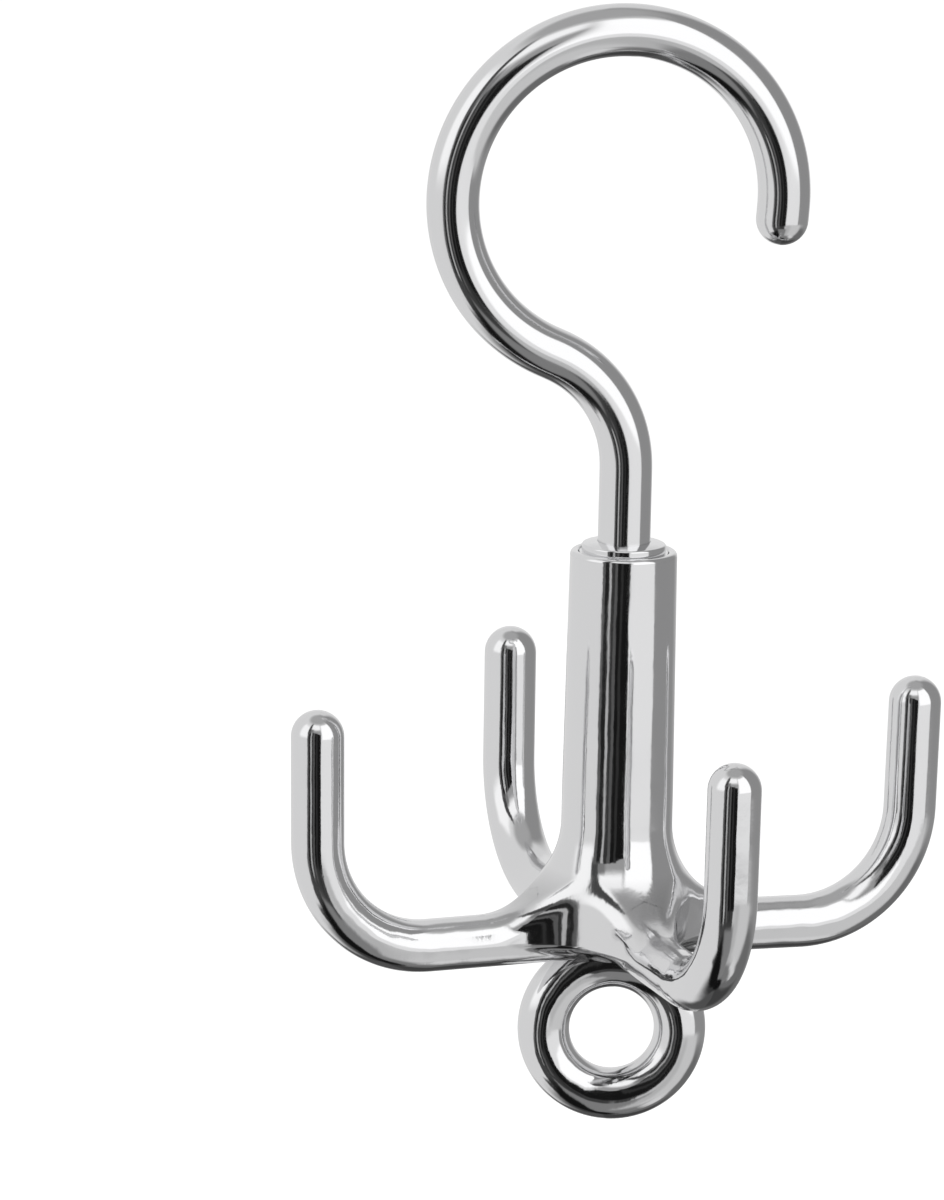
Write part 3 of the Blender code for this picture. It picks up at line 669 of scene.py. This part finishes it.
def chrome_on_casting():
    """Bright nickel-chrome on a zinc die casting polished on a soft wheel.

    The wheel leaves the surface rolling by a few hundredths of a millimetre every few
    millimetres, with a finer ripple on it, so straight edges come back wavering. The belt before
    it leaves faint streaks down the hub, half a millimetre apart. Low down, round the bends and
    on the eye, both only pass lightly, and what it mirrors breaks up more. Neither gets down
    into the crotches between the claws, which keep more of the cast skin and look mottled; their
    colour is painted a greyer chrome there, as painted shade.
    """
    made, tree, shader = new_material("bright_chrome_on_polished_casting", CHROME, 1)
    coordinates = add_node(tree, "ShaderNodeTexCoord")
    place = coordinates.outputs["Object"]
    roll = noise(tree, place, POLISH_ROLL, detail=1.0, roughness=0.4)
    ripple = noise(tree, place, POLISH_RIPPLE)
    streaks = noise(tree, stretched(tree, place, POLISH_STREAK_STRETCH), POLISH_STREAK, roughness=0.6)
    bend_roll = noise(tree, place, BEND_ROLL, detail=1.0)
    skin = noise(tree, place, CAST_SKIN, detail=3.0, roughness=0.6)
    height = add_node(tree, "ShaderNodeSeparateXYZ", {"Vector": place}).outputs["Z"]
    above, below = BEND_ROLL_HEIGHT
    low_down = ranged(tree, height, rim_z + above, rim_z + below, 0.0, 1.0)
    # How much cast skin is left; the same share paints the crotches a greyer chrome, as painted shade.
    kept = skin_and_painted_shade(tree, coordinates)
    normal = bump(tree, roll, POLISH_ROLL_DEPTH)
    normal = bump(tree, ripple, POLISH_RIPPLE_DEPTH, over=normal)
    normal = bump(tree, streaks, POLISH_STREAK_DEPTH, over=normal)
    normal = bump(tree, bend_roll, BEND_ROLL_DEPTH, low_down, over=normal)
    normal = bump(tree, skin, CAST_SKIN_DEPTH, kept, over=normal)
    haze = ranged(tree, roll, *MAIN_NOISE, *POLISH_HAZE)
    haze = add_node(tree, "ShaderNodeMath", {0: kept, 1: CAST_SKIN_HAZE, 2: haze}, operation="MULTIPLY_ADD")
    # Painted shade: where the skin is left, in the crotches, the colour goes from chrome to a greyer chrome.
    tree.links.new(tint(tree, kept, CHROME, CROTCH_SHADE_CHROME), shader.inputs["Base Color"])
    tree.links.new(normal, shader.inputs["Normal"])
    tree.links.new(haze.outputs["Value"], shader.inputs["Roughness"])
    return made


def spring_steel():
    """Stamped spring steel, hardened and oiled: grey-brown, with a fine grain and a dull sheen."""
    made, tree, shader = new_material("oiled_spring_steel", STEEL, 1)
    place = add_node(tree, "ShaderNodeTexCoord").outputs["Object"]
    scale = noise(tree, place, SCALE_PATCH, detail=3.0)
    tree.links.new(tint(tree, scale, DARK_STEEL, LIGHT_STEEL), shader.inputs["Base Color"])
    tree.links.new(ranged(tree, scale, *WHOLE_NOISE, *STEEL_HAZE), shader.inputs["Roughness"])
    tree.links.new(bump(tree, scale, SCALE_DEPTH), shader.inputs["Normal"])
    return made


def moulded_nylon():
    """Natural nylon, injection moulded: milky and waxy, slightly cloudy, with a spark-eroded grain."""
    made, tree, shader = new_material("moulded_natural_nylon", NYLON, 0)
    shader.inputs["Subsurface Weight"].default_value = NYLON_MILKINESS
    shader.inputs["Subsurface Radius"].default_value = NYLON_MILK_DEPTH
    place = add_node(tree, "ShaderNodeTexCoord").outputs["Object"]
    cloud = noise(tree, place, CLOUD_PATCH)
    grain = noise(tree, place, GRAIN_SIZE)
    tree.links.new(tint(tree, cloud, DARK_NYLON, LIGHT_NYLON), shader.inputs["Base Color"])
    tree.links.new(ranged(tree, grain, *WHOLE_NOISE, *NYLON_HAZE), shader.inputs["Roughness"])
    tree.links.new(bump(tree, grain, GRAIN_DEPTH), shader.inputs["Normal"])
    return made


wire_chrome, cast_chrome = chrome_on_wire(), chrome_on_casting()
wire_points, wire_lie = hook_grid()
make_piece("bent_wire_hook", [wire_points], wire_chrome, "hook", ["hook"], lie=wire_lie)
make_piece("spring_clip", [clip_grid()], spring_steel(), "hook", ["retaining_clip"])
make_piece("nylon_washer", [washer_grid()], moulded_nylon(), "claws", ["thrust_washer"])
make_piece("hub_with_four_claws", casting_grids(), cast_chrome, "claws", ["claw_casting"])
make_piece("domed_swivel_cap", [cap_grid()], cast_chrome, "claws", ["swivel_cap"])
make_piece("round_eye", [eye_grid()], cast_chrome, "claws", ["eye_ring"])

# Camera and studio

CAMERA_PLACE = (-260.4 * MM, -1117.4 * MM, 184.96 * MM)
CAMERA_TURN = math.radians(-12.34)
CAMERA_DOWN = math.radians(12.2)
CAMERA_ROLL = math.radians(1.31)
CAMERA_LENS = 309.0
SENSOR = 36.0                     # the lens's length is for the frame's long side
TENT_RADIUS = 1.6
TENT_CENTRE = np.array([axis_x, 0, rim_z])
TENT_COLUMNS, TENT_ROWS = 721, 361
CAMERA_SIDE = math.atan2(CAMERA_PLACE[1], CAMERA_PLACE[0] - axis_x)
PAPER = "#F2F2F2"
PAPER_ROUGHNESS = 0.9
FLOOR_Z = -0.34
FLOOR_HALF = 6.0
FLOOR_LIFT = 0.55                 # how much lighter than lit paper the camera sees the floor
WORLD_LIGHT = 0.5
LAMP_DISTANCE = 1.3

# A lamp's azimuth and elevation as for the cards below, its width, and its share of plain light
LAMPS = {
    "key_lamp": (47, 30, 0.7, 0.35),
    "top_lamp": (-30, 75, 0.9, 0.2),
}

# The tent's cards, each laid over the ones before it. Grey levels are as seen, from 0 to 1. Angles
# are in degrees from the tent's centre: azimuth from the camera, to its right, then elevation.
# level, azimuth from, to, elevation from, to, softness of the sides, of the ends, slope of the top
CARDS = {
    "ceiling": (0.62, -200, 200, 62, 95, 1, 16, 0),
    "right_wall": (0.53, 73, 200, -95, 66, 3, 16, 0),
    "right_wall_far": (0.80, 150, 200, -12, 60, 24, 14, 0),
    "backdrop_left": (0.84, -200, -160, -8, 24, 14, 14, 0),
    "backdrop_right": (0.84, 166, 200, -8, 24, 14, 14, 0),
    "left_strip": (0.95, -84, -44, 2, 47, 16, 14, 0),
    "floor_left": (0.20, -200, -46, -95, -64, 2, 26, 0),
    "floor_left_far": (0.30, -200, -146, -95, -38, 16, 14, 0),
    "floor_right": (0.68, 10, 100, -95, -17, 40, 6, 0),
    "floor_right_low": (0.45, 10, 100, -120, -68, 40, 12, 0),
    "floor_right_side": (0.75, 38, 88, -62, -17, 16, 6, 0),
    "floor_right_far": (0.40, 96, 200, -95, -26, 16, 14, 0),
    "floor_right_back": (0.24, 140, 200, -95, -46, 16, 14, 0),
    "floor_right_deep": (0.79, 62, 108, -70, -58, 8, 8, 0),
    "floor_front": (0.47, -24, 20, -100, -34, 12, 8, 0),
    "straight_down": (0.06, -200, 200, -130, -82.5, 1, 5, 0),
    "above_flag": (0.58, -47, 17, 16, 64, 3, 6, 0),
    "above_flag_strip": (0.95, -34, 16, 37, 62, 12, 14, 0),
    "flag_top": (0.46, -36, -20, 20, 38, 6, 8, 0),
    "flag_top_left": (0.26, -46.5, -34, 20, 58, 3, 10, 0),
    "flag_low": (0.25, -46, -22, -70, -18, 4, 6, 0),
    "flag_low_left": (0.30, -66, -44, -74, -49, 12, 6, 0),
    "flag_low_right": (0.22, -24, 11, -36, -18, 4, 6, 0),
    "flag_left": (0.33, -44.3, -12, -30, 25, 1, 2, 0),
    "flag_strip": (0.12, -38, -30, -30, 22, 1.5, 5, 0),
    "flag_gap": (0.66, -29.5, -24.5, -30, 25, 1, 2, 0),
    "flag_middle": (0.19, -24, -17.5, -30, 25, 2, 2, 0),
    "flag_right": (0.08, -12, 15, -22, 25, 1, 2, -0.3),
    "flag_seam": (0.18, -4.5, 0.5, -30, 24, 2, 2, 0),
    "underside": (0.07, -104, -22, -130, -77, 16, 12, 0.46),
    "softbox": (1.0, 20, 72, -5, 57, 5, 6, 0),
    "softbox_skirt": (0.865, 16, 72, -17, -5, 1, 3, 0),
}
WALL_LEVEL = 0.81
TENT_STRENGTH = 1.18              # makes up for what chrome takes from what it mirrors


def outward(azimuth, elevation):
    """The direction from the tent's centre at two angles in degrees, as a vector."""
    a, e = CAMERA_SIDE + np.radians(azimuth), np.radians(elevation)
    return np.stack([np.cos(a) * np.cos(e), np.sin(a) * np.cos(e), np.sin(e)], axis=-1)


def across_edge(distance, softness):
    """From 0 to 1 across a card's edge that is soft over some degrees."""
    return smooth_step(distance / softness + 0.5)


def tent_level(azimuth, elevation):
    """How bright the tent is in a direction: the wall's level, then each card's in its place."""
    level = WALL_LEVEL + 0 * azimuth
    for card, left, right, low, high, sides, ends, slope in CARDS.values():
        top = high + slope * (azimuth - left)
        cover = across_edge(azimuth - left, sides) * across_edge(right - azimuth, sides)
        cover = cover * across_edge(elevation - low, ends) * across_edge(top - elevation, ends)
        level = level + (card - level) * cover
    return level


def make_camera():
    """The photo's camera, as fitted to points on the hanger."""
    camera = add_object("camera", bpy.data.cameras.new("camera"))
    camera.data.lens = CAMERA_LENS
    camera.data.sensor_fit = "VERTICAL"
    camera.data.sensor_height = SENSOR
    camera.location = CAMERA_PLACE
    camera.rotation_euler = (Matrix.Rotation(CAMERA_TURN, 3, "Z")
                             @ Matrix.Rotation(math.pi / 2 - CAMERA_DOWN, 3, "X")
                             @ Matrix.Rotation(CAMERA_ROLL, 3, "Z")).to_euler()
    bpy.context.scene.camera = camera


def make_tent():
    """A sphere of cloth and cards round the hanger, which only its reflections show."""
    azimuth, elevation = np.meshgrid(np.linspace(-180, 180, TENT_COLUMNS),
                                     np.linspace(-90, 90, TENT_ROWS), indexing="ij")
    mesh = grid_mesh("tent", [TENT_CENTRE + TENT_RADIUS * outward(azimuth, elevation)])
    emitted = linear_light(tent_level(azimuth, elevation).reshape(-1))
    attribute = mesh.attributes.new("level", "FLOAT", "POINT")
    attribute.data.foreach_set("value", emitted.astype(np.float32))
    tent = add_object("tent", mesh)
    tent.visible_camera = False
    tent.visible_diffuse = False
    tent.visible_shadow = False
    made = bpy.data.materials.new("tent_cloth")
    made.use_nodes = True
    tree = made.node_tree
    tree.nodes.clear()
    level = add_node(tree, "ShaderNodeAttribute", attribute_name="level")
    glow = add_node(tree, "ShaderNodeEmission", {"Color": level.outputs["Fac"], "Strength": TENT_STRENGTH})
    add_node(tree, "ShaderNodeOutputMaterial", {"Surface": glow.outputs["Emission"]})
    mesh.materials.append(made)


def make_floor():
    """A pale floor a little way below the hanger, which is white to the camera where no shadow
    falls. Reflections show the tent's lower half in its place, and a camera under the floor
    looks through it."""
    mesh = bpy.data.meshes.new("floor")
    half = FLOOR_HALF
    mesh.from_pydata([(-half, -half, FLOOR_Z), (half, -half, FLOOR_Z), (half, half, FLOOR_Z),
                      (-half, half, FLOOR_Z)], [], [(0, 1, 2, 3)])
    floor = add_object("floor", mesh)
    floor.visible_glossy = False
    made, tree, shader = new_material("matt_white_paper", PAPER, 0)
    shader.inputs["Roughness"].default_value = PAPER_ROUGHNESS
    path = add_node(tree, "ShaderNodeLightPath")
    lift = add_node(tree, "ShaderNodeMath", {0: path.outputs["Is Camera Ray"], 1: FLOOR_LIFT},
                    operation="MULTIPLY")
    glow = add_node(tree, "ShaderNodeEmission", {"Strength": lift.outputs[0]})
    both = add_node(tree, "ShaderNodeAddShader", {0: shader.outputs[0], 1: glow.outputs[0]})
    side = add_node(tree, "ShaderNodeNewGeometry")
    clear = add_node(tree, "ShaderNodeBsdfTransparent")
    seen = add_node(tree, "ShaderNodeMixShader", {0: side.outputs["Backfacing"], 1: both.outputs[0],
                    2: clear.outputs[0]})
    tree.links.new(seen.outputs[0], tree.nodes["Material Output"].inputs["Surface"])
    mesh.materials.append(made)


def make_lamp(name, azimuth, elevation, size, share):
    """A soft lamp at an angle from the camera's side of the hanger. It gives its share of plain
    light there, and metal shows the tent in its place."""
    lamp = bpy.data.lights.new(name, "AREA")
    lamp.shape = "DISK"
    lamp.size = size
    lamp.energy = share * (math.pi * LAMP_DISTANCE) ** 2
    made = add_object(name, lamp)
    made.location = TENT_CENTRE + LAMP_DISTANCE * outward(azimuth, elevation)
    made.rotation_euler = (math.radians(90 - elevation), 0, CAMERA_SIDE + math.radians(azimuth + 90))
    made.visible_glossy = False


def make_world():
    """A white world to the camera and in what is mirrored or seen through, dimmer as a light."""
    world = bpy.data.worlds.new("studio")
    bpy.context.scene.world = world
    world.use_nodes = True
    tree = world.node_tree
    path = add_node(tree, "ShaderNodeLightPath")
    seen = add_node(tree, "ShaderNodeMath", {0: path.outputs["Is Camera Ray"],
                    1: path.outputs["Is Glossy Ray"]}, operation="ADD")
    seen = add_node(tree, "ShaderNodeMath", {0: seen.outputs[0], 1: path.outputs["Is Transmission Ray"]},
                    operation="ADD", use_clamp=True)
    background = tree.nodes["Background"]
    background.inputs["Color"].default_value = (1, 1, 1, 1)
    tree.links.new(ranged(tree, seen.outputs[0], 0.0, 1.0, WORLD_LIGHT, 1.0), background.inputs["Strength"])


make_camera()
make_tent()
make_floor()
for lamp_name, placing in LAMPS.items():
    make_lamp(lamp_name, *placing)
make_world()
bpy.context.scene.view_settings.view_transform = "Standard"
